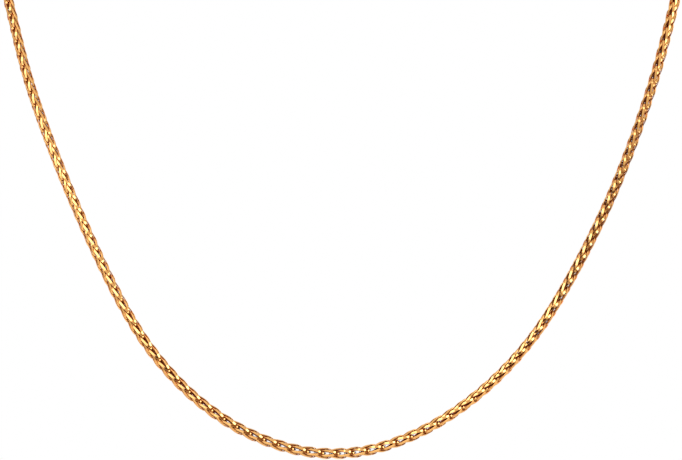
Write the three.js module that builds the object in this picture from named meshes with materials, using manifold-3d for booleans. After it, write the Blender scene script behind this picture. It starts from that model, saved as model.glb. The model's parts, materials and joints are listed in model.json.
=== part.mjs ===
// A gold wheat chain necklace: a fine chain of interlocked links, closed at the nape by a clasp.
// Millimetres: +Z up as worn, -Y to the wearer's front, +X to the right seen from the front.
// The origin is the point on the neck side of the clasp where the chain rests on the nape.
import * as THREE from 'three';
import { mergeVertices } from 'three/addons/utils/BufferGeometryUtils.js';
import Module from 'manifold-3d';

const wasm = await Module();
wasm.setup();

// Chain: a solid string of the links' outer size
const CHAIN_WIDTH = 1.5;
const CHAIN_SIDES = 8;
const CHAIN_STEPS = 78;
const CURVE_SAMPLES = 2000;

// Air between pieces that touch
const GAP = 0.3;

// Rings of round wire
const RING_RADIUS = 1.7;
const RING_WIRE = 0.6;
const LOOP_RADIUS = 1.0;
const EYE_RADIUS = 0.95;
const EYE_WIRE = 0.7;
const WIRE_SIDES = 8;
const RING_STEPS = 28;

// Soldered end cap: a short barrel with a closed loop
const CAP_LENGTH = 3.0;
const CAP_RADIUS = 0.95;
const CAP_ROUNDING = 0.3;
const CAP_SIDES = 20;
const CAP_SEAT_IN_LOOP = 0.15;

// Clasp: a flat drop with an open claw, lying on the nape
const CLASP_HALF_WIDTH = 2.3;
const CLAW_HALF_WIDTH = 1.15;
const CLASP_THICKNESS = 1.4;
const CLASP_BEVEL = 0.3;
const CLASP_NOSE = 5.8;
const CLAW_END = 4.8;
const CLASP_NECK = -3.5;
const NECK_HALF_WIDTH = 0.6;
const EYE_CENTRE = -4.2;
const CLASP_CURVE_STEPS = 10;

// The clasp, rings and caps lie on one line through the middle of the clasp
const CLASP_LINE_Y = CLASP_THICKNESS / 2;

// Stations along the clasp line, from the middle outwards; both sides are alike
const RING_CENTRE = CLAW_END - GAP - RING_WIRE / 2 + RING_RADIUS;
const LOOP_CENTRE = RING_CENTRE + RING_RADIUS + RING_WIRE + GAP - LOOP_RADIUS;
const CAP_FRONT = LOOP_CENTRE + LOOP_RADIUS - CAP_SEAT_IN_LOOP;
const CAP_BACK = CAP_FRONT + CAP_LENGTH;
const CHAIN_END = CAP_BACK + GAP;

// The front of the loop hangs in a plane that leans back at the top, as on a chest.
// Rows are [across, up the lean], from the left arm round the low point to the right arm.
const CHEST_LEAN = THREE.MathUtils.degToRad(20);
const CHEST_CENTRE = new THREE.Vector3(0, -95.7, -76.9);
const FRONT_POINTS = [
  [-46.4, 34.1],
  [-42.8, 21.0],
  [-36.5, 4.5],
  [-29.1, -11.1],
  [-24.5, -18.2],
  [-18.8, -24.2],
  [-12.2, -28.6],
  [-4.6, -31.1],
  [3.2, -31.0],
  [10.7, -28.3],
  [17.4, -23.9],
  [23.3, -18.2],
  [28.3, -11.4],
  [36.3, 3.8],
  [42.6, 20.2],
  [46.6, 34.1],
];

// From above the front, over the shoulder and round the neck to the cap, [x, y, z].
// The other side is its mirror image.
const SHOULDER_POINTS = [
  [50.1, -78.7, -32.0],
  [53.3, -70.8, -19.6],
  [55.8, -60.6, -11.2],
  [57.0, -47.6, -6.4],
  [55.0, -31.6, -3.6],
  [47.8, -17.2, -1.9],
  [36.4, -6.6, -0.8],
  [24.0, -1.2, -0.2],
];

const gold = new THREE.MeshStandardMaterial({ color: 0xdba45c, roughness: 0.16, metalness: 1 });
const claspGold = new THREE.MeshStandardMaterial({ color: 0xdba45c, roughness: 0.12, metalness: 1 });

function frontPoint([across, up]) {
  const lean = new THREE.Vector3(0, Math.sin(CHEST_LEAN), Math.cos(CHEST_LEAN));
  return CHEST_CENTRE.clone().addScaledVector(lean, up).add(new THREE.Vector3(across, 0, 0));
}

function chainRoute() {
  const right = SHOULDER_POINTS.map(([x, y, z]) => new THREE.Vector3(x, y, z));
  const left = right.map((p) => new THREE.Vector3(-p.x, p.y, p.z)).reverse();
  const start = new THREE.Vector3(-CHAIN_END, CLASP_LINE_Y, 0);
  const end = new THREE.Vector3(CHAIN_END, CLASP_LINE_Y, 0);
  const points = [start, ...left, ...FRONT_POINTS.map(frontPoint), ...right, end];
  const curve = new THREE.CatmullRomCurve3(points, false, 'centripetal');
  curve.arcLengthDivisions = CURVE_SAMPLES;
  return curve;
}

function toSolid(geometry) {
  const bare = geometry.clone();
  bare.deleteAttribute('normal');
  bare.deleteAttribute('uv');
  const merged = mergeVertices(bare);
  const corners = merged.index.array;
  const kept = [];
  for (let i = 0; i < corners.length; i += 3) {
    const [a, b, c] = [corners[i], corners[i + 1], corners[i + 2]];
    if (a !== b && b !== c && c !== a) kept.push(a, b, c);
  }
  return new wasm.Manifold(new wasm.Mesh({
    numProp: 3,
    vertProperties: new Float32Array(merged.attributes.position.array),
    triVerts: new Uint32Array(kept),
  }));
}

function fromSolid(solid) {
  const mesh = solid.getMesh();
  const geometry = new THREE.BufferGeometry();
  geometry.setAttribute('position', new THREE.BufferAttribute(mesh.vertProperties, 3));
  geometry.setIndex(new THREE.BufferAttribute(mesh.triVerts, 1));
  geometry.computeVertexNormals();
  return geometry;
}

function named(name, geometry, material) {
  const mesh = new THREE.Mesh(geometry, material);
  mesh.name = name;
  return mesh;
}

// A ring whose hole faces the viewer, so it stands in the plane of the clasp
function standingRing(radius, wire, x) {
  const ring = new THREE.TorusGeometry(radius, wire / 2, WIRE_SIDES, RING_STEPS);
  ring.rotateX(Math.PI / 2);
  ring.translate(x, 0, 0);
  return ring;
}

function wheatChain() {
  const section = new THREE.Shape();
  for (let i = 0; i < CHAIN_SIDES; i += 1) {
    const turn = (2 * Math.PI * i) / CHAIN_SIDES;
    const [x, y] = [Math.cos(turn) * CHAIN_WIDTH / 2, Math.sin(turn) * CHAIN_WIDTH / 2];
    if (i === 0) section.moveTo(x, y);
    else section.lineTo(x, y);
  }
  section.closePath();
  const tube = new THREE.ExtrudeGeometry(section, {
    steps: CHAIN_STEPS,
    extrudePath: chainRoute(),
  });
  return named('wheat_chain', tube, gold);
}

// Barrel and loop are soldered into one solid; side is 1 or -1 along X
function endCap(name, side) {
  const profile = [
    [0, CAP_FRONT],
    [CAP_RADIUS - CAP_ROUNDING, CAP_FRONT],
    [CAP_RADIUS, CAP_FRONT + CAP_ROUNDING],
    [CAP_RADIUS, CAP_BACK],
    [0, CAP_BACK],
  ].map(([r, along]) => new THREE.Vector2(r, along));
  const barrel = new THREE.LatheGeometry(profile, CAP_SIDES);
  barrel.rotateZ(-side * Math.PI / 2);
  const loop = standingRing(LOOP_RADIUS, RING_WIRE, side * LOOP_CENTRE);
  const cap = named(name, fromSolid(toSolid(barrel).add(toSolid(loop))), gold);
  cap.position.y = CLASP_LINE_Y;
  return cap;
}

// A jump ring lies flat, through the loops on either side of it
function jumpRing(name, side) {
  const ring = new THREE.TorusGeometry(RING_RADIUS, RING_WIRE / 2, WIRE_SIDES, RING_STEPS);
  const mesh = named(name, ring, gold);
  mesh.position.set(side * RING_CENTRE, CLASP_LINE_Y, 0);
  return mesh;
}

function clasp() {
  const outline = new THREE.Shape();
  const swell = CLASP_HALF_WIDTH;
  outline.moveTo(CLASP_NECK, -NECK_HALF_WIDTH);
  outline.bezierCurveTo(-1.8, -0.8, -1.2, -swell, 1.5, -swell);
  outline.bezierCurveTo(4.3, -swell, CLASP_NOSE, -1.5, CLASP_NOSE, 0);
  outline.bezierCurveTo(CLASP_NOSE, 1.5, 4.3, swell, 1.5, swell);
  outline.bezierCurveTo(-1.2, swell, -1.8, 0.8, CLASP_NECK, NECK_HALF_WIDTH);
  outline.closePath();

  const claw = new THREE.Path();
  const open = CLAW_HALF_WIDTH;
  claw.moveTo(-1.1, 0);
  claw.bezierCurveTo(-0.4, 0.6, 0.2, open, 1.6, open);
  claw.bezierCurveTo(3.7, open, CLAW_END, 0.8, CLAW_END, 0);
  claw.bezierCurveTo(CLAW_END, -0.8, 3.7, -open, 1.6, -open);
  claw.bezierCurveTo(0.2, -open, -0.4, -0.6, -1.1, 0);
  outline.holes.push(claw);

  const plate = new THREE.ExtrudeGeometry(outline, {
    depth: CLASP_THICKNESS - 2 * CLASP_BEVEL,
    bevelThickness: CLASP_BEVEL,
    bevelSize: CLASP_BEVEL,
    bevelOffset: -CLASP_BEVEL,
    bevelSegments: 2,
    curveSegments: CLASP_CURVE_STEPS,
  });
  plate.translate(0, 0, CLASP_BEVEL - CLASP_THICKNESS / 2);
  plate.rotateX(Math.PI / 2);
  const eye = standingRing(EYE_RADIUS, EYE_WIRE, EYE_CENTRE);
  const mesh = named('clasp', fromSolid(toSolid(plate).add(toSolid(eye))), claspGold);
  mesh.position.y = CLASP_LINE_Y;
  return mesh;
}

const necklace = new THREE.Group();
necklace.add(wheatChain());
necklace.add(endCap('end_cap_left', -1));
necklace.add(endCap('end_cap_right', 1));
necklace.add(jumpRing('clasp_ring', -1));
necklace.add(jumpRing('catch_ring', 1));
necklace.add(clasp());

export default necklace;
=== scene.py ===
"""Gold wheat chain necklace, laid out as an add-on: links, caps, rings, clasp and the stage."""
import json
import math

import bmesh
import bpy
from bpy.props import FloatProperty, FloatVectorProperty, IntProperty, PointerProperty
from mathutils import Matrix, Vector

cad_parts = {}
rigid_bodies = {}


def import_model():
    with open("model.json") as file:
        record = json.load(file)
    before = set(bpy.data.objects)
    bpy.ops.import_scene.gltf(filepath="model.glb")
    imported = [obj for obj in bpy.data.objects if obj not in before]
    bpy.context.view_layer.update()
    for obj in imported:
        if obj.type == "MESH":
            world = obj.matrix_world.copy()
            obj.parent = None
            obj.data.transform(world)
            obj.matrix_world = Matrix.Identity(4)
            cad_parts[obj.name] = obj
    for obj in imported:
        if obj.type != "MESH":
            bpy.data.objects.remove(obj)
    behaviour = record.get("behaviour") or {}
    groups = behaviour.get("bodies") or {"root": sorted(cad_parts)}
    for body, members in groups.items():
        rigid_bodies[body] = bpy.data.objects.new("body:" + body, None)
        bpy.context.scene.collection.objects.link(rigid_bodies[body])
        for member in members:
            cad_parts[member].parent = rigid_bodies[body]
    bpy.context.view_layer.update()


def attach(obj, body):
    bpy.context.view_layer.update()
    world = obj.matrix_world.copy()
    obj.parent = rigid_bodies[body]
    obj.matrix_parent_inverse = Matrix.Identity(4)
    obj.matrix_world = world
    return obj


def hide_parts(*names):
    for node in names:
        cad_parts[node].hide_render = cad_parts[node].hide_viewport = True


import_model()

bl_info = {
    "name": "Wheat Chain Necklace",
    "version": (1, 0, 0),
    "blender": (4, 5, 0),
    "location": "View3D > Sidebar > Necklace",
    "description": "Builds a wheat chain with its end caps, jump rings and clasp, and a white stage",
    "category": "Add Mesh",
}

MM = 0.001

# The chain's route, in millimetres. The front hangs in a plane that leans back at the top.
# Rows are [across, up the lean], from the right arm round the low point to the left arm.
CHEST_LEAN = math.radians(20)
CHEST_CENTRE = Vector((0, -95.7, -76.9))
FRONT_POINTS = [
    (46.6, 34.1),
    (42.6, 20.2),
    (36.3, 3.8),
    (28.3, -11.4),
    (23.3, -18.2),
    (17.4, -23.9),
    (10.7, -28.3),
    (3.2, -31.0),
    (-4.6, -31.1),
    (-12.2, -28.6),
    (-18.8, -24.2),
    (-24.5, -18.2),
    (-29.1, -11.1),
    (-36.5, 4.5),
    (-42.8, 21.0),
    (-46.4, 34.1),
]

# From above the front, over the shoulder and round the neck to the cap, on the right side.
# The left side is its mirror image.
SHOULDER_POINTS = [
    (50.1, -78.7, -32.0),
    (53.3, -70.8, -19.6),
    (55.8, -60.6, -11.2),
    (57.0, -47.6, -6.4),
    (55.0, -31.6, -3.6),
    (47.8, -17.2, -1.9),
    (36.4, -6.6, -0.8),
    (24.0, -1.2, -0.2),
]

# The clasp, rings and caps lie on one line. Stations run from the middle outwards, in millimetres.
CLASP_LINE_Y = 0.7
RING_CENTRE = 5.9
LOOP_CENTRE = 7.5
CAP_FRONT = 8.35
CAP_BACK = 11.35

# The solid chain's end, and the place inside the cup where the links' route begins
CHAIN_END = 11.65
INSIDE_CUP = 10.55

# Details of the end caps, in millimetres. A groove runs from one station to another.
CAP_ROUNDING = 0.3
CAP_CUP_DEPTH = 1.0
CAP_GROOVES = [(8.95, 9.2), (9.75, 10.0), (10.55, 10.8)]
GROOVE_DEPTH = 0.06

# The bead of solder on a jump ring: where it lies and how far it spreads, in degrees round the
# ring, and how far it stands out, in millimetres
SOLDER_TURN = 215
SOLDER_SPREAD = 10
SOLDER_SWELL = 0.03

# Clasp: a flat drop with an open claw and an eye, in the plane of the clasp line.
# Rows are (corner, handle before it, handle after it), each (along, up) in millimetres.
CLASP_OUTLINE = [
    ((-3.0, -0.62), (-3.4, -0.58), (-1.8, -0.8)),
    ((1.5, -2.3), (-1.2, -2.3), (4.3, -2.3)),
    ((5.8, 0.0), (5.8, -1.5), (5.8, 1.5)),
    ((1.5, 2.3), (4.3, 2.3), (-1.2, 2.3)),
    ((-3.0, 0.62), (-1.8, 0.8), (-3.4, 0.58)),
    ((-3.55, 0.0), (-3.55, 0.35), (-3.55, -0.35)),
]
CLASP_CLAW = [
    ((-1.1, 0.0), (-0.4, -0.6), (-0.4, 0.6)),
    ((1.6, 1.15), (0.2, 1.15), (3.7, 1.15)),
    ((4.8, 0.0), (4.8, 0.8), (4.8, -0.8)),
    ((1.6, -1.15), (3.7, -1.15), (0.2, -1.15)),
]
EYE_CENTRE = -4.2
EYE_RADIUS = 0.95
EYE_WIRE = 0.7

# Half of one link's wire, in millimetres. A link is a ring twisted into an 8 and folded: its two
# waist wires cross on the chain's axis, and its two ends reach ahead and hold the third link on.
# The other half is this one turned half round the axis. Rows are (turn from the link's own side in
# degrees, distance from the axis, height along the axis).
UPPER_CROSSING = (0, 0.00, -0.40)
LEADING_LEG = [
    (12, 0.25, -0.33),
    (13, 0.40, -0.11),
    (16, 0.55, 0.17),
    (21, 0.66, 0.57),
    (29, 0.64, 0.98),
    (40, 0.56, 1.38),
    (50, 0.48, 1.79),
    (50, 0.39, 2.20),
    (44, 0.28, 2.64),
    (46, 0.20, 2.80),
]
LINK_TIP = (90, 0.10, 2.92)
TRAILING_LEG = [
    (42, 0.14, 2.90),
    (30, 0.30, 2.63),
    (40, 0.42, 2.20),
    (44, 0.48, 1.90),
    (41, 0.54, 1.55),
    (32, 0.58, 1.24),
    (26, 0.65, 0.82),
    (20, 0.66, 0.41),
    (10, 0.65, 0.00),
    (0, 0.50, -0.36),
    (-4, 0.14, -0.59),
]
LOWER_CROSSING = (0, 0.00, -0.61)

# The wire is round inside the chain and rolled flat where it lies on the outside. These are
# distances from the axis, in millimetres.
ROUND_WITHIN = 0.38
FLAT_BEYOND = 0.52

# Closer to the axis than this, the wire's side turns from facing outwards to facing along the chain
TURNED_WITHIN = 0.3

# Corners of the wire's section, as shares of half its thickness and half its width
ROUND_SECTION = [
    (0.87, 0.5),
    (0, 1),
    (-0.87, 0.5),
    (-0.87, -0.5),
    (0, -1),
    (0.87, -0.5),
]
FLAT_SECTION = [
    (1, 0.68),
    (0, 1),
    (-1, 0.6),
    (-1, -0.6),
    (0, -1),
    (1, -0.68),
]

# Which of these corners bound the flat outer side, which is left out of the painted shade
FLAT_SIDE = (0, 5)

# The plain ring that each link is shaped from
RAW_RING_RADIUS = 4 * MM
RAW_RING_WIRE_RADIUS = 1 * MM

# How finely the lines and the meshes are cut
ROUTE_STEPS = 60
ROUTE_POINTS = 874
LINK_STEPS = 12
RING_STEPS = 48
LOOP_STEPS = 40
WIRE_SIDES = 14
CAP_SIDES = 36
CAP_ROUNDING_STEPS = 4
CLASP_CURVE_STEPS = 14
CLASP_ROUNDING_STEPS = 4

# Lengths that count as nothing: between a curve's points, from a point of the wire to the axis,
# and between the corners of a mesh
SHORTEST_GAP = 1e-6
SHORTEST_REACH = 1e-7
MERGE_DISTANCE = 0.0001 * MM

# A face of the barrel is an end when more of its normal than this runs along the clasp line, and
# part of the side when less than this does
FACES_ALONG = 0.9
FACES_ACROSS = 0.1

# Edges between faces that meet at a wider angle than this stay sharp on the fittings
SMOOTH_ANGLE = math.radians(40)
QUARTER_TURN = math.radians(90)

# Gold: the drift of colour, the gloss as shares of its mean, and the fine marks of polishing
DRIFT_SCALE = 900.0
DRIFT_DETAIL = 3.0
DRIFT_TINT = (1, 0.86, 0.7)
DRIFT_RANGE = (0.3, 0.7)
GLOSS_RANGE = (0.7, 1.5)
MARKS_SCALE = 4000.0
MARKS_DETAIL = 2.0
MARKS_STRENGTH = 0.03
MARKS_HEIGHT = 0.02 * MM

# Places of the colour sockets on a mix node
MIX_FROM = 6
MIX_TO = 7
MIX_RESULT = 2

# The stage: lengths are in metres, but the camera's sensor is in millimetres
FLOOR_SIZE = 1.8
FLOOR_COLOUR = (0.9, 0.9, 0.9)
MATT_ROUGHNESS = 0.9
SENSOR_WIDTH = 36
NEAREST_SEEN = 0.01

# The surroundings reach their low and their high brightness this far down and up, where straight
# down is -1 and straight up is 1
FILL_REACH = 0.7

# Rows are (name, place, size, colour)
CARDS = [
    ("dark_card_front", (-0.16, -0.81, -0.01), (0.66, 0.56), (0.05, 0.022, 0.01)),
    ("brown_card_low", (0.08, -0.3, -0.19), (0.6, 0.4), (0.25, 0.12, 0.05)),
]

# Rows are (name, place, size, power in watts)
SOFTBOXES = [
    ("top_softbox", (-0.24, -0.42, 0.29), (0.4, 0.34), 0.8),
    ("left_softbox", (-0.42, -0.52, -0.04), (0.4, 0.5), 0.7),
    ("right_softbox", (0.42, -0.4, 0.16), (0.3, 0.44), 1.3),
]


class ChainSettings(bpy.types.PropertyGroup):
    link_pitch: FloatProperty(
        name="Link pitch", description="Distance from one link to the next along the chain",
        default=0.998 * MM, precision=6, unit="LENGTH")
    links: IntProperty(
        name="Links", description="Number of links between the two end caps", default=434)
    wire_width: FloatProperty(
        name="Wire width", description="Width of a link's wire along the chain's surface",
        default=0.37 * MM, precision=5, unit="LENGTH")
    wire_thickness: FloatProperty(
        name="Wire thickness", description="Thickness of a link's wire towards the axis",
        default=0.12 * MM, precision=5, unit="LENGTH")
    wire_gauge: FloatProperty(
        name="Wire gauge", description="Thickness of the round wire inside the chain",
        default=0.19 * MM, precision=5, unit="LENGTH")
    wire_stations: IntProperty(
        name="Stations", description="Number of sections along one link's wire", default=40)
    first_link: FloatProperty(
        name="First link", description="From the route's start, in the right cup, to the first link",
        default=0.75 * MM, precision=5, unit="LENGTH")
    turn: FloatProperty(
        name="Turn", description="Turn of the chain about its own line at the middle of the front",
        default=math.radians(72), subtype="ANGLE")
    twist: FloatProperty(
        name="Twist", description="Slow turn of the whole chain, for each millimetre of its length",
        default=math.radians(0.8), subtype="ANGLE")
    twist_growth: FloatProperty(
        name="Twist growth", description="Turn added with the square of the millimetres from the middle",
        default=math.radians(0.0015), precision=6, subtype="ANGLE")
    roughness: FloatProperty(
        name="Roughness", description="Mean roughness of the chain's gold",
        default=0.1, min=0, max=1, subtype="FACTOR")
    colour: FloatVectorProperty(
        name="Colour", description="Colour of the chain's gold", subtype="COLOR",
        size=3, min=0, max=1, default=(0.92, 0.57, 0.23))
    # Painted shade: the colour painted on the wire's edges and in the chain's depths in place of shade
    # and reddish bounced light
    painted_shade_colour: FloatVectorProperty(
        name="Depth colour", description="Colour of the wire's edges and of the chain's depths",
        subtype="COLOR", size=3, min=0, max=1, default=(0.5, 0.18, 0.055))


class FittingSettings(bpy.types.PropertyGroup):
    ring_radius: FloatProperty(
        name="Ring radius", description="Jump ring's radius, to the middle of its wire",
        default=1.7 * MM, precision=5, unit="LENGTH")
    ring_wire: FloatProperty(
        name="Ring wire", description="Diameter of the wire of the jump rings and the caps' loops",
        default=0.6 * MM, precision=5, unit="LENGTH")
    loop_radius: FloatProperty(
        name="Loop radius", description="Radius of an end cap's loop, to the middle of its wire",
        default=1.0 * MM, precision=5, unit="LENGTH")
    cap_radius: FloatProperty(
        name="Cap radius", description="Outer radius of an end cap's barrel",
        default=0.95 * MM, precision=5, unit="LENGTH")
    cap_wall: FloatProperty(
        name="Cap wall", description="Thickness of the wall round the cap's cup",
        default=0.12 * MM, precision=5, unit="LENGTH")
    clasp_thickness: FloatProperty(
        name="Clasp thickness", description="Thickness of the clasp from the neck side outwards",
        default=1.4 * MM, precision=5, unit="LENGTH")
    clasp_rounding: FloatProperty(
        name="Clasp rounding", description="Radius of the clasp's rounded edges",
        default=0.42 * MM, precision=5, unit="LENGTH")
    roughness: FloatProperty(
        name="Roughness", description="Mean roughness of the fittings' gold",
        default=0.12, min=0, max=1, subtype="FACTOR")
    colour: FloatVectorProperty(
        name="Colour", description="Colour of the fittings' gold", subtype="COLOR",
        size=3, min=0, max=1, default=(0.95, 0.54, 0.22))


class StageSettings(bpy.types.PropertyGroup):
    camera_distance: FloatProperty(
        name="Camera distance", description="From the lens to the middle of the front",
        default=0.4, unit="LENGTH")
    focal_length: FloatProperty(
        name="Focal length", description="Focal length on a sensor 36 mm wide",
        default=155.8, subtype="DISTANCE_CAMERA")
    floor_level: FloatProperty(
        name="Floor level", description="Height of the pale floor", default=-0.2, unit="LENGTH")
    backdrop_light: FloatProperty(
        name="Backdrop light", description="Brightness of the white behind", default=1.0)
    high_fill: FloatProperty(
        name="High fill", description="Brightness that the metal sees above", default=0.9)
    low_fill: FloatProperty(
        name="Low fill", description="Brightness that the metal sees below", default=0.42)
    fill_colour: FloatVectorProperty(
        name="Fill colour", description="Colour of the surroundings on the metal", subtype="COLOR",
        size=3, min=0, max=1, default=(1.0, 0.9, 0.76))


def deselect_all():
    for other in bpy.context.view_layer.objects:
        other.select_set(False)


def select_only(*objects):
    deselect_all()
    for chosen in objects:
        chosen.select_set(True)
    bpy.context.view_layer.objects.active = objects[0]


def added(name):
    """Name the primitive that has just been added."""
    piece = bpy.context.active_object
    piece.name = name
    piece.data.name = name
    return piece


def apply_modifiers(piece):
    select_only(piece)
    for modifier in list(piece.modifiers):
        bpy.ops.object.modifier_apply(modifier=modifier.name)


def settle(piece):
    """Put the piece's place into its mesh."""
    select_only(piece)
    bpy.ops.object.transform_apply(location=True, rotation=True, scale=True)


def front_point(across, up):
    lean = Vector((0, math.sin(CHEST_LEAN), math.cos(CHEST_LEAN)))
    return CHEST_CENTRE + lean * up + Vector((across, 0, 0))


def spline_segment(p0, p1, p2, p3, share):
    """Centripetal Catmull-Rom, the same kind of curve as the solid chain's."""
    before, between, after = (
        math.sqrt(max((b - a).length, SHORTEST_GAP)) for a, b in ((p0, p1), (p1, p2), (p2, p3)))
    leave = (p1 - p0) / before - (p2 - p0) / (before + between) + (p2 - p1) / between
    arrive = (p2 - p1) / between - (p3 - p1) / (between + after) + (p3 - p2) / after
    leave *= between
    arrive *= between
    square = -3 * p1 + 3 * p2 - 2 * leave - arrive
    cube = 2 * p1 - 2 * p2 + leave + arrive
    return p1 + leave * share + square * share ** 2 + cube * share ** 3


def evenly(points, count):
    """Points at equal distances along a line, and the line's length."""
    reach = [0.0]
    for a, b in zip(points, points[1:]):
        reach.append(reach[-1] + (b - a).length)
    spaced = []
    step = 0
    for i in range(count):
        wanted = reach[-1] * i / (count - 1)
        while step < len(points) - 2 and reach[step + 1] < wanted:
            step += 1
        span = reach[step + 1] - reach[step]
        spaced.append(points[step].lerp(points[step + 1], (wanted - reach[step]) / span))
    return spaced, reach[-1]


def chain_route():
    """The chain's middle line from cup to cup, a point each half millimetre, and its length."""
    right = [Vector(p) for p in SHOULDER_POINTS]
    left = [Vector((-p.x, p.y, p.z)) for p in right]
    start = [Vector((x, CLASP_LINE_Y, 0)) for x in (INSIDE_CUP, CHAIN_END)]
    end = [Vector((-x, CLASP_LINE_Y, 0)) for x in (CHAIN_END, INSIDE_CUP)]
    front = [front_point(*row) for row in FRONT_POINTS]
    points = [*start, *reversed(right), *front, *left, *end]
    points = [points[0] * 2 - points[1], *points, points[-1] * 2 - points[-2]]
    line = []
    for i in range(1, len(points) - 2):
        corners = points[i - 1:i + 3]
        line += [spline_segment(*corners, step / ROUTE_STEPS) for step in range(ROUTE_STEPS)]
    line.append(points[-2])
    return evenly([p * MM for p in line], ROUTE_POINTS)


def route_curve(settings):
    """A curve along the route, tilted at each point by the chain's slow twist."""
    line, length = chain_route()
    deselect_all()
    bpy.ops.curve.primitive_bezier_curve_add()
    curve = added("chain_route")
    curve.location = (0, 0, 0)
    data = curve.data
    data.splines.clear()
    spline = data.splines.new("POLY")
    spline.points.add(len(line) - 1)
    for i, place in enumerate(line):
        along = length * i / (len(line) - 1)
        spline.points[i].co = (*place, 1)
        beyond_middle = (along - length / 2) / MM
        tilt = settings.turn + settings.twist * beyond_middle
        spline.points[i].tilt = tilt + settings.twist_growth * beyond_middle ** 2
    data.dimensions = "3D"
    data.twist_mode = "MINIMUM"
    data.use_deform_bounds = False
    data.use_radius = False
    return curve


def link_path(stations):
    """Closed path of one link's wire in metres: X along the chain, Y its own side."""
    def place(row, own_side):
        turn, out, height = row
        angle = math.radians(turn)
        return Vector((height, own_side * out * math.cos(angle), out * math.sin(angle))) * MM
    half = [place(UPPER_CROSSING, 1)]
    half += [place(row, 1) for row in LEADING_LEG]
    half.append(place(LINK_TIP, 1))
    half += [place(row, -1) for row in TRAILING_LEG]
    other = [Vector((p.x, -p.y, -p.z)) for p in reversed(half[1:])]
    points = [*half, place(LOWER_CROSSING, 1), *other]
    count = len(points)
    line = []
    for i in range(count):
        corners = [points[(i + step) % count] for step in (-1, 0, 1, 2)]
        line += [spline_segment(*corners, step / LINK_STEPS) for step in range(LINK_STEPS)]
    line.append(points[0])
    return evenly(line, stations + 1)[0][:-1]


def wire_frames(path, settings):
    """The wire at each station: its place, half its thickness, half its width, how flat it is."""
    frames = []
    for i, place in enumerate(path):
        along = (path[(i + 1) % len(path)] - path[i - 1]).normalized()
        out = Vector((0, place.y, place.z))
        share = min(1.0, out.length / (TURNED_WITHIN * MM))
        start = Vector((1, 0, 0))
        if out.length > SHORTEST_REACH:
            start = start * (1 - share) + out.normalized() * share
        outward = (start - along * start.dot(along)).normalized()
        flat = (out.length / MM - ROUND_WITHIN) / (FLAT_BEYOND - ROUND_WITHIN)
        flat = min(1.0, max(0.0, flat))
        thick = settings.wire_gauge + (settings.wire_thickness - settings.wire_gauge) * flat
        wide = settings.wire_gauge + (settings.wire_width - settings.wire_gauge) * flat
        frames.append((place, outward * thick / 2, along.cross(outward) * wide / 2, flat))
    return frames


def nearest_step(y, x, steps):
    """Which of the equal steps round a circle lies nearest to a direction."""
    return round(math.atan2(y, x) / (2 * math.pi) * steps) % steps


def shape_link(link, path, settings):
    """Move a plain ring's corners so that its wire follows the link's path."""
    frames = wire_frames(path, settings)
    # Mask of the painted shade: the wire's flat outer side keeps the gold's colour, while its edges, its
    # inner side and the round wire deep in the chain get painted shade
    free_of_painted_shade = link.data.attributes.new("free_of_painted_shade", "FLOAT", "POINT")
    side_of = []
    for corner in link.data.vertices:
        x, y, z = corner.co
        station = nearest_step(y, x, len(path))
        side = nearest_step(z, math.hypot(x, y) - RAW_RING_RADIUS, len(FLAT_SECTION))
        side_of.append(side)
        place, half_thick, half_wide, flat = frames[station]
        share = Vector(ROUND_SECTION[side]).lerp(Vector(FLAT_SECTION[side]), flat)
        corner.co = place + half_thick * share.x + half_wide * share.y
        free_of_painted_shade.data[corner.index].value = flat if side in FLAT_SIDE else 0.0
    for edge in link.data.edges:
        a, b = edge.vertices
        edge.use_edge_sharp = side_of[a] == side_of[b] and side_of[a] in FLAT_SIDE


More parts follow.
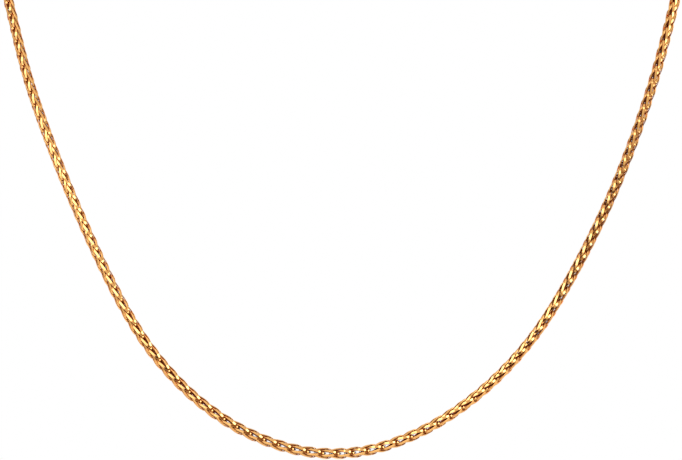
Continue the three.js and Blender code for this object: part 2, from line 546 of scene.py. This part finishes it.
class NECKLACE_OT_chain(bpy.types.Operator):
    """Link one twisted wire ring into a wheat chain and lay it along the route"""

    bl_idname = "necklace.chain"
    bl_label = "Wheat Chain"

    def execute(self, context):
        settings = context.scene.necklace_chain
        gold = polished_gold("chain_gold", settings.colour, settings.roughness)
        # Painted shade and painted bounce light on the wire's edges and in the chain's depths
        self.paint_shade_in_depths(gold, settings.painted_shade_colour)
        curve = route_curve(settings)
        pairs = settings.links // 2
        pair_pitch = 2 * settings.link_pitch
        shares = {"wheat_chain_right": pairs - pairs // 2, "wheat_chain_left": pairs // 2}
        first = settings.first_link
        for name, count in shares.items():
            piece = self.link_pair(name, settings)
            for corner in piece.data.vertices:
                corner.co.x += first
            array = piece.modifiers.new("links", "ARRAY")
            array.use_relative_offset = False
            array.use_constant_offset = True
            array.constant_offset_displace = (pair_pitch, 0, 0)
            array.count = count
            bend = piece.modifiers.new("route", "CURVE")
            bend.object = curve
            bend.deform_axis = "POS_X"
            apply_modifiers(piece)
            bpy.ops.object.shade_smooth()
            piece.data.materials.clear()
            piece.data.materials.append(gold)
            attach(piece, "root")
            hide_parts("wheat_chain")
            first += count * pair_pitch
        bpy.data.objects.remove(curve)
        return {"FINISHED"}

    def paint_shade_in_depths(self, gold, painted_shade_colour):
        """Redden and darken the wire's edges and the chain's depths: painted shade, and painted reddish
        light bounced between the links.
        """
        nodes = gold.node_tree.nodes
        links = gold.node_tree.links
        shader = nodes["Principled BSDF"]
        gold_colour = shader.inputs["Base Color"].links[0].from_socket
        free_of_painted_shade = nodes.new("ShaderNodeAttribute")
        free_of_painted_shade.attribute_name = "free_of_painted_shade"
        # Mix in the painted shade colour where the mask falls towards 0
        depth = nodes.new("ShaderNodeMix")
        depth.data_type = "RGBA"
        depth.inputs[MIX_FROM].default_value = (*painted_shade_colour, 1)
        links.new(gold_colour, depth.inputs[MIX_TO])
        links.new(free_of_painted_shade.outputs["Fac"], depth.inputs["Factor"])
        links.new(depth.outputs[MIX_RESULT], shader.inputs["Base Color"])

    def link_pair(self, name, settings):
        """One link and the next, which stands a quarter turn round and one pitch ahead."""
        path = link_path(settings.wire_stations)
        links = []
        for link_name in (name, "next_link"):
            deselect_all()
            bpy.ops.mesh.primitive_torus_add(
                major_segments=len(path), minor_segments=len(FLAT_SECTION),
                major_radius=RAW_RING_RADIUS, minor_radius=RAW_RING_WIRE_RADIUS)
            link = added(link_name)
            shape_link(link, path, settings)
            links.append(link)
        for corner in links[1].data.vertices:
            x, y, z = corner.co
            corner.co = (x + settings.link_pitch, -z, y)
        select_only(*links)
        bpy.ops.object.join()
        piece = bpy.context.active_object
        bpy.ops.object.mode_set(mode="EDIT")
        bpy.ops.mesh.select_all(action="SELECT")
        bpy.ops.mesh.normals_make_consistent(inside=False)
        bpy.ops.object.mode_set(mode="OBJECT")
        return piece


def select_faces(piece, wanted):
    """Select, in edit mode, the faces whose middle in millimetres and normal pass a test."""
    bpy.ops.mesh.select_mode(type="FACE")
    bpy.ops.mesh.select_all(action="DESELECT")
    shape = bmesh.from_edit_mesh(piece.data)
    for face in shape.faces:
        if wanted(face.calc_center_median() / MM, face.normal):
            face.select_set(True)
    bmesh.update_edit_mesh(piece.data)


def standing_ring(name, radius, wire, x):
    """A ring whose hole faces the viewer, in the plane of the clasp."""
    deselect_all()
    bpy.ops.mesh.primitive_torus_add(
        major_segments=LOOP_STEPS, minor_segments=WIRE_SIDES,
        major_radius=radius, minor_radius=wire / 2,
        location=(x * MM, CLASP_LINE_Y * MM, 0), rotation=(QUARTER_TURN, 0, 0))
    ring = added(name)
    settle(ring)
    return ring


def join_into(piece, *others):
    """Join other meshes into a piece, as parts soldered together."""
    select_only(piece, *others)
    bpy.ops.object.join()
    bpy.ops.object.mode_set(mode="EDIT")
    bpy.ops.mesh.select_all(action="SELECT")
    bpy.ops.mesh.remove_doubles(threshold=MERGE_DISTANCE)
    bpy.ops.mesh.normals_make_consistent(inside=False)
    bpy.ops.object.mode_set(mode="OBJECT")


def other_side(piece, name):
    """A copy of a right-hand piece, turned half round the middle of the clasp line."""
    copy = piece.copy()
    copy.data = piece.data.copy()
    copy.name = name
    copy.data.name = name
    bpy.context.collection.objects.link(copy)
    copy.rotation_euler = (0, 0, math.pi)
    copy.location = (0, 2 * CLASP_LINE_Y * MM, 0)
    settle(copy)
    return copy


def finish_fitting(piece, settings, node):
    """Smooth a fitting, give it its gold, hang it on the root body and hide the CAD node that it stands
    for.
    """
    select_only(piece)
    bpy.ops.object.shade_smooth_by_angle(angle=SMOOTH_ANGLE)
    gold = bpy.data.materials.get("fitting_gold")
    if gold is None:
        gold = polished_gold("fitting_gold", settings.colour, settings.roughness)
    piece.data.materials.clear()
    piece.data.materials.append(gold)
    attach(piece, "root")
    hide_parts(node)


class NECKLACE_OT_end_caps(bpy.types.Operator):
    """Make the grooved barrel and loop that close each end of the chain"""

    bl_idname = "necklace.end_caps"
    bl_label = "End Caps"

    def execute(self, context):
        settings = context.scene.necklace_fittings
        right = self.barrel("cup_and_loop_right", settings)
        loop = standing_ring("loop", settings.loop_radius, settings.ring_wire, LOOP_CENTRE)
        join_into(right, loop)
        left = other_side(right, "cup_and_loop_left")
        finish_fitting(right, settings, "end_cap_right")
        finish_fitting(left, settings, "end_cap_left")
        return {"FINISHED"}

    def barrel(self, name, settings):
        """A barrel with a rounded front, three grooves, and a cup at the back for the links."""
        deselect_all()
        bpy.ops.mesh.primitive_cylinder_add(
            vertices=CAP_SIDES, radius=settings.cap_radius, depth=(CAP_BACK - CAP_FRONT) * MM,
            location=((CAP_FRONT + CAP_BACK) / 2 * MM, CLASP_LINE_Y * MM, 0),
            rotation=(0, QUARTER_TURN, 0))
        barrel = added(name)
        settle(barrel)
        bpy.ops.object.mode_set(mode="EDIT")
        select_faces(barrel, lambda middle, normal: normal.x < -FACES_ALONG)
        bpy.ops.mesh.bevel(offset=CAP_ROUNDING * MM, segments=CAP_ROUNDING_STEPS, affect="EDGES")
        select_faces(barrel, lambda middle, normal: normal.x > FACES_ALONG)
        bpy.ops.mesh.inset(thickness=settings.cap_wall)
        into_barrel = (-CAP_CUP_DEPTH * MM, 0, 0)
        bpy.ops.mesh.extrude_region_move(TRANSFORM_OT_translate={"value": into_barrel})
        for groove in CAP_GROOVES:
            for x in groove:
                bpy.ops.mesh.select_all(action="SELECT")
                bpy.ops.mesh.bisect(plane_co=(x * MM, 0, 0), plane_no=(1, 0, 0))
        rim = (settings.cap_radius - settings.cap_wall / 2) / MM
        for low, high in CAP_GROOVES:
            def in_groove(middle, normal):
                out = math.hypot(middle.y - CLASP_LINE_Y, middle.z)
                return low < middle.x < high and out > rim and abs(normal.x) < FACES_ACROSS
            select_faces(barrel, in_groove)
            bpy.ops.mesh.inset(thickness=GROOVE_DEPTH * MM, depth=-GROOVE_DEPTH * MM)
        bpy.ops.object.mode_set(mode="OBJECT")
        return barrel


class NECKLACE_OT_jump_rings(bpy.types.Operator):
    """Make the two soldered jump rings, which lie flat"""

    bl_idname = "necklace.jump_rings"
    bl_label = "Jump Rings"

    def execute(self, context):
        settings = context.scene.necklace_fittings
        deselect_all()
        bpy.ops.mesh.primitive_torus_add(
            major_segments=RING_STEPS, minor_segments=WIRE_SIDES,
            major_radius=settings.ring_radius, minor_radius=settings.ring_wire / 2,
            location=(RING_CENTRE * MM, CLASP_LINE_Y * MM, 0))
        right = added("soldered_ring_right")
        settle(right)
        bpy.ops.object.mode_set(mode="EDIT")

        def at_solder(middle, normal):
            turn = math.atan2(middle.y - CLASP_LINE_Y, middle.x - RING_CENTRE)
            return abs(math.degrees(turn) % 360 - SOLDER_TURN) < SOLDER_SPREAD
        select_faces(right, at_solder)
        bpy.ops.transform.shrink_fatten(value=SOLDER_SWELL * MM)
        bpy.ops.object.mode_set(mode="OBJECT")
        left = other_side(right, "soldered_ring_left")
        finish_fitting(right, settings, "catch_ring")
        finish_fitting(left, settings, "clasp_ring")
        return {"FINISHED"}


class NECKLACE_OT_clasp(bpy.types.Operator):
    """Make the rounded drop of the clasp with its open claw and its eye"""

    bl_idname = "necklace.clasp"
    bl_label = "Clasp"

    def execute(self, context):
        settings = context.scene.necklace_fittings
        deselect_all()
        bpy.ops.curve.primitive_bezier_circle_add()
        clasp = added("rounded_clasp")
        data = clasp.data
        data.splines.clear()
        for rows in (CLASP_OUTLINE, CLASP_CLAW):
            self.closed_outline(data, rows)
        data.dimensions = "2D"
        data.fill_mode = "BOTH"
        data.resolution_u = CLASP_CURVE_STEPS
        data.bevel_depth = settings.clasp_rounding
        data.bevel_resolution = CLASP_ROUNDING_STEPS
        data.offset = -settings.clasp_rounding
        data.extrude = settings.clasp_thickness / 2 - settings.clasp_rounding
        clasp.rotation_euler = (QUARTER_TURN, 0, 0)
        clasp.location = (0, CLASP_LINE_Y * MM, 0)
        select_only(clasp)
        bpy.ops.object.convert(target="MESH")
        settle(clasp)
        eye = standing_ring("eye", EYE_RADIUS * MM, EYE_WIRE * MM, EYE_CENTRE)
        join_into(clasp, eye)
        finish_fitting(clasp, settings, "clasp")
        return {"FINISHED"}

    def closed_outline(self, data, rows):
        """Add a closed curve with the rows' corners and handles."""
        spline = data.splines.new("BEZIER")
        spline.bezier_points.add(len(rows) - 1)
        spline.use_cyclic_u = True
        for point, (corner, before, after) in zip(spline.bezier_points, rows):
            point.handle_left_type = "FREE"
            point.handle_right_type = "FREE"
            point.co = (corner[0] * MM, corner[1] * MM, 0)
            point.handle_left = (before[0] * MM, before[1] * MM, 0)
            point.handle_right = (after[0] * MM, after[1] * MM, 0)


def polished_gold(name, colour, roughness):
    """Polished gold: fine polishing marks, uneven gloss and a faint drift of colour."""
    material = bpy.data.materials.new(name)
    material.use_nodes = True
    nodes = material.node_tree.nodes
    links = material.node_tree.links
    shader = nodes["Principled BSDF"]
    shader.inputs["Metallic"].default_value = 1.0
    where = nodes.new("ShaderNodeTexCoord")

    drift = nodes.new("ShaderNodeTexNoise")
    drift.inputs["Scale"].default_value = DRIFT_SCALE
    drift.inputs["Detail"].default_value = DRIFT_DETAIL
    links.new(where.outputs["Object"], drift.inputs["Vector"])
    tint = nodes.new("ShaderNodeMix")
    tint.data_type = "RGBA"
    deeper = [level * share for level, share in zip(colour, DRIFT_TINT)]
    tint.inputs[MIX_FROM].default_value = (*colour, 1)
    tint.inputs[MIX_TO].default_value = (*deeper, 1)
    links.new(drift.outputs["Fac"], tint.inputs["Factor"])
    links.new(tint.outputs[MIX_RESULT], shader.inputs["Base Color"])

    gloss = nodes.new("ShaderNodeMapRange")
    gloss.inputs["From Min"].default_value = DRIFT_RANGE[0]
    gloss.inputs["From Max"].default_value = DRIFT_RANGE[1]
    gloss.inputs["To Min"].default_value = roughness * GLOSS_RANGE[0]
    gloss.inputs["To Max"].default_value = roughness * GLOSS_RANGE[1]
    links.new(drift.outputs["Fac"], gloss.inputs["Value"])
    links.new(gloss.outputs["Result"], shader.inputs["Roughness"])

    marks = nodes.new("ShaderNodeTexNoise")
    marks.inputs["Scale"].default_value = MARKS_SCALE
    marks.inputs["Detail"].default_value = MARKS_DETAIL
    links.new(where.outputs["Object"], marks.inputs["Vector"])
    bump = nodes.new("ShaderNodeBump")
    bump.inputs["Strength"].default_value = MARKS_STRENGTH
    bump.inputs["Distance"].default_value = MARKS_HEIGHT
    links.new(marks.outputs["Fac"], bump.inputs["Height"])
    links.new(bump.outputs["Normal"], shader.inputs["Normal"])
    return material


class NECKLACE_OT_stage(bpy.types.Operator):
    """Set the pale floor, the white surroundings, the soft lights and the camera"""

    bl_idname = "necklace.stage"
    bl_label = "Stage"

    def execute(self, context):
        settings = context.scene.necklace_stage
        context.scene.view_settings.view_transform = "Standard"
        context.scene.world = self.surroundings(settings)
        middle = CHEST_CENTRE * MM

        deselect_all()
        bpy.ops.mesh.primitive_plane_add(size=FLOOR_SIZE, location=(0, 0, settings.floor_level))
        floor = added("floor")
        settle(floor)
        floor.data.materials.append(self.matt("floor_paint", FLOOR_COLOUR))

        for name, place, size, colour in CARDS:
            self.card(name, place, middle, size, colour)
        for name, place, size, power in SOFTBOXES:
            self.soft_light(name, place, middle, size, power)

        bpy.ops.object.camera_add(
            location=middle + Vector((0, -settings.camera_distance, 0)),
            rotation=(QUARTER_TURN, 0, 0))
        camera = bpy.context.active_object
        camera.name = "camera"
        camera.data.sensor_width = SENSOR_WIDTH
        camera.data.lens = settings.focal_length
        camera.data.clip_start = NEAREST_SEEN
        context.scene.camera = camera
        return {"FINISHED"}

    def surroundings(self, settings):
        """White behind the necklace, dimmer where it lights the metal."""
        world = bpy.data.worlds.new("white_surroundings")
        world.use_nodes = True
        nodes = world.node_tree.nodes
        links = world.node_tree.links
        background = nodes["Background"]
        where = nodes.new("ShaderNodeTexCoord")
        axes = nodes.new("ShaderNodeSeparateXYZ")
        links.new(where.outputs["Generated"], axes.inputs["Vector"])
        height = nodes.new("ShaderNodeMapRange")
        height.inputs["From Min"].default_value = -FILL_REACH
        height.inputs["From Max"].default_value = FILL_REACH
        height.inputs["To Min"].default_value = settings.low_fill
        height.inputs["To Max"].default_value = settings.high_fill
        links.new(axes.outputs["Z"], height.inputs["Value"])

        ray = nodes.new("ShaderNodeLightPath")
        level = nodes.new("ShaderNodeMix")
        level.inputs["B"].default_value = settings.backdrop_light
        links.new(ray.outputs["Is Camera Ray"], level.inputs["Factor"])
        links.new(height.outputs["Result"], level.inputs["A"])
        links.new(level.outputs["Result"], background.inputs["Strength"])

        warm = nodes.new("ShaderNodeMix")
        warm.data_type = "RGBA"
        warm.inputs[MIX_FROM].default_value = (*settings.fill_colour, 1)
        warm.inputs[MIX_TO].default_value = (1, 1, 1, 1)
        links.new(ray.outputs["Is Camera Ray"], warm.inputs["Factor"])
        links.new(warm.outputs[MIX_RESULT], background.inputs["Color"])
        return world

    def matt(self, name, colour):
        """Plain matt paint."""
        material = bpy.data.materials.new(name)
        material.use_nodes = True
        shader = material.node_tree.nodes["Principled BSDF"]
        shader.inputs["Base Color"].default_value = (*colour, 1)
        shader.inputs["Roughness"].default_value = MATT_ROUGHNESS
        return material

    def card(self, name, place, aim, size, colour):
        """A card out of the camera's sight, for the dark reflections in the metal."""
        deselect_all()
        bpy.ops.mesh.primitive_plane_add(size=1)
        card = added(name)
        card.location = place
        card.rotation_euler = (aim - Vector(place)).to_track_quat("Z", "Y").to_euler()
        card.scale = (*size, 1)
        settle(card)
        card.visible_camera = False
        card.data.materials.append(self.matt(name, colour))

    def soft_light(self, name, place, aim, size, power):
        """A rectangular light out of the camera's sight."""
        bpy.ops.object.light_add(type="AREA", location=place)
        light = bpy.context.active_object
        light.name = name
        light.visible_camera = False
        light.data.shape = "RECTANGLE"
        light.data.size, light.data.size_y = size
        light.data.energy = power
        light.rotation_euler = (aim - Vector(place)).to_track_quat("-Z", "Y").to_euler()


class NECKLACE_PT_panel(bpy.types.Panel):
    """The necklace's pieces, in the sidebar"""

    bl_idname = "NECKLACE_PT_panel"
    bl_label = "Wheat Chain Necklace"
    bl_space_type = "VIEW_3D"
    bl_region_type = "UI"
    bl_category = "Necklace"

    def draw(self, context):
        scene = context.scene
        for heading, settings, operators in (
            ("Chain", scene.necklace_chain, ("necklace.chain",)),
            ("Fittings", scene.necklace_fittings,
             ("necklace.end_caps", "necklace.jump_rings", "necklace.clasp")),
            ("Stage", scene.necklace_stage, ("necklace.stage",)),
        ):
            box = self.layout.box()
            box.label(text=heading)
            for name in settings.__annotations__:
                box.prop(settings, name)
            for operator in operators:
                box.operator(operator)


CLASSES = (
    ChainSettings,
    FittingSettings,
    StageSettings,
    NECKLACE_OT_chain,
    NECKLACE_OT_end_caps,
    NECKLACE_OT_jump_rings,
    NECKLACE_OT_clasp,
    NECKLACE_OT_stage,
    NECKLACE_PT_panel,
)


def register():
    for cls in CLASSES:
        bpy.utils.register_class(cls)
    bpy.types.Scene.necklace_chain = PointerProperty(type=ChainSettings)
    bpy.types.Scene.necklace_fittings = PointerProperty(type=FittingSettings)
    bpy.types.Scene.necklace_stage = PointerProperty(type=StageSettings)


def unregister():
    del bpy.types.Scene.necklace_stage
    del bpy.types.Scene.necklace_fittings
    del bpy.types.Scene.necklace_chain
    for cls in reversed(CLASSES):
        bpy.utils.unregister_class(cls)


def main():
    register()
    bpy.ops.necklace.chain()
    bpy.ops.necklace.end_caps()
    bpy.ops.necklace.jump_rings()
    bpy.ops.necklace.clasp()
    bpy.ops.necklace.stage()


if __name__ == "__main__":
    main()
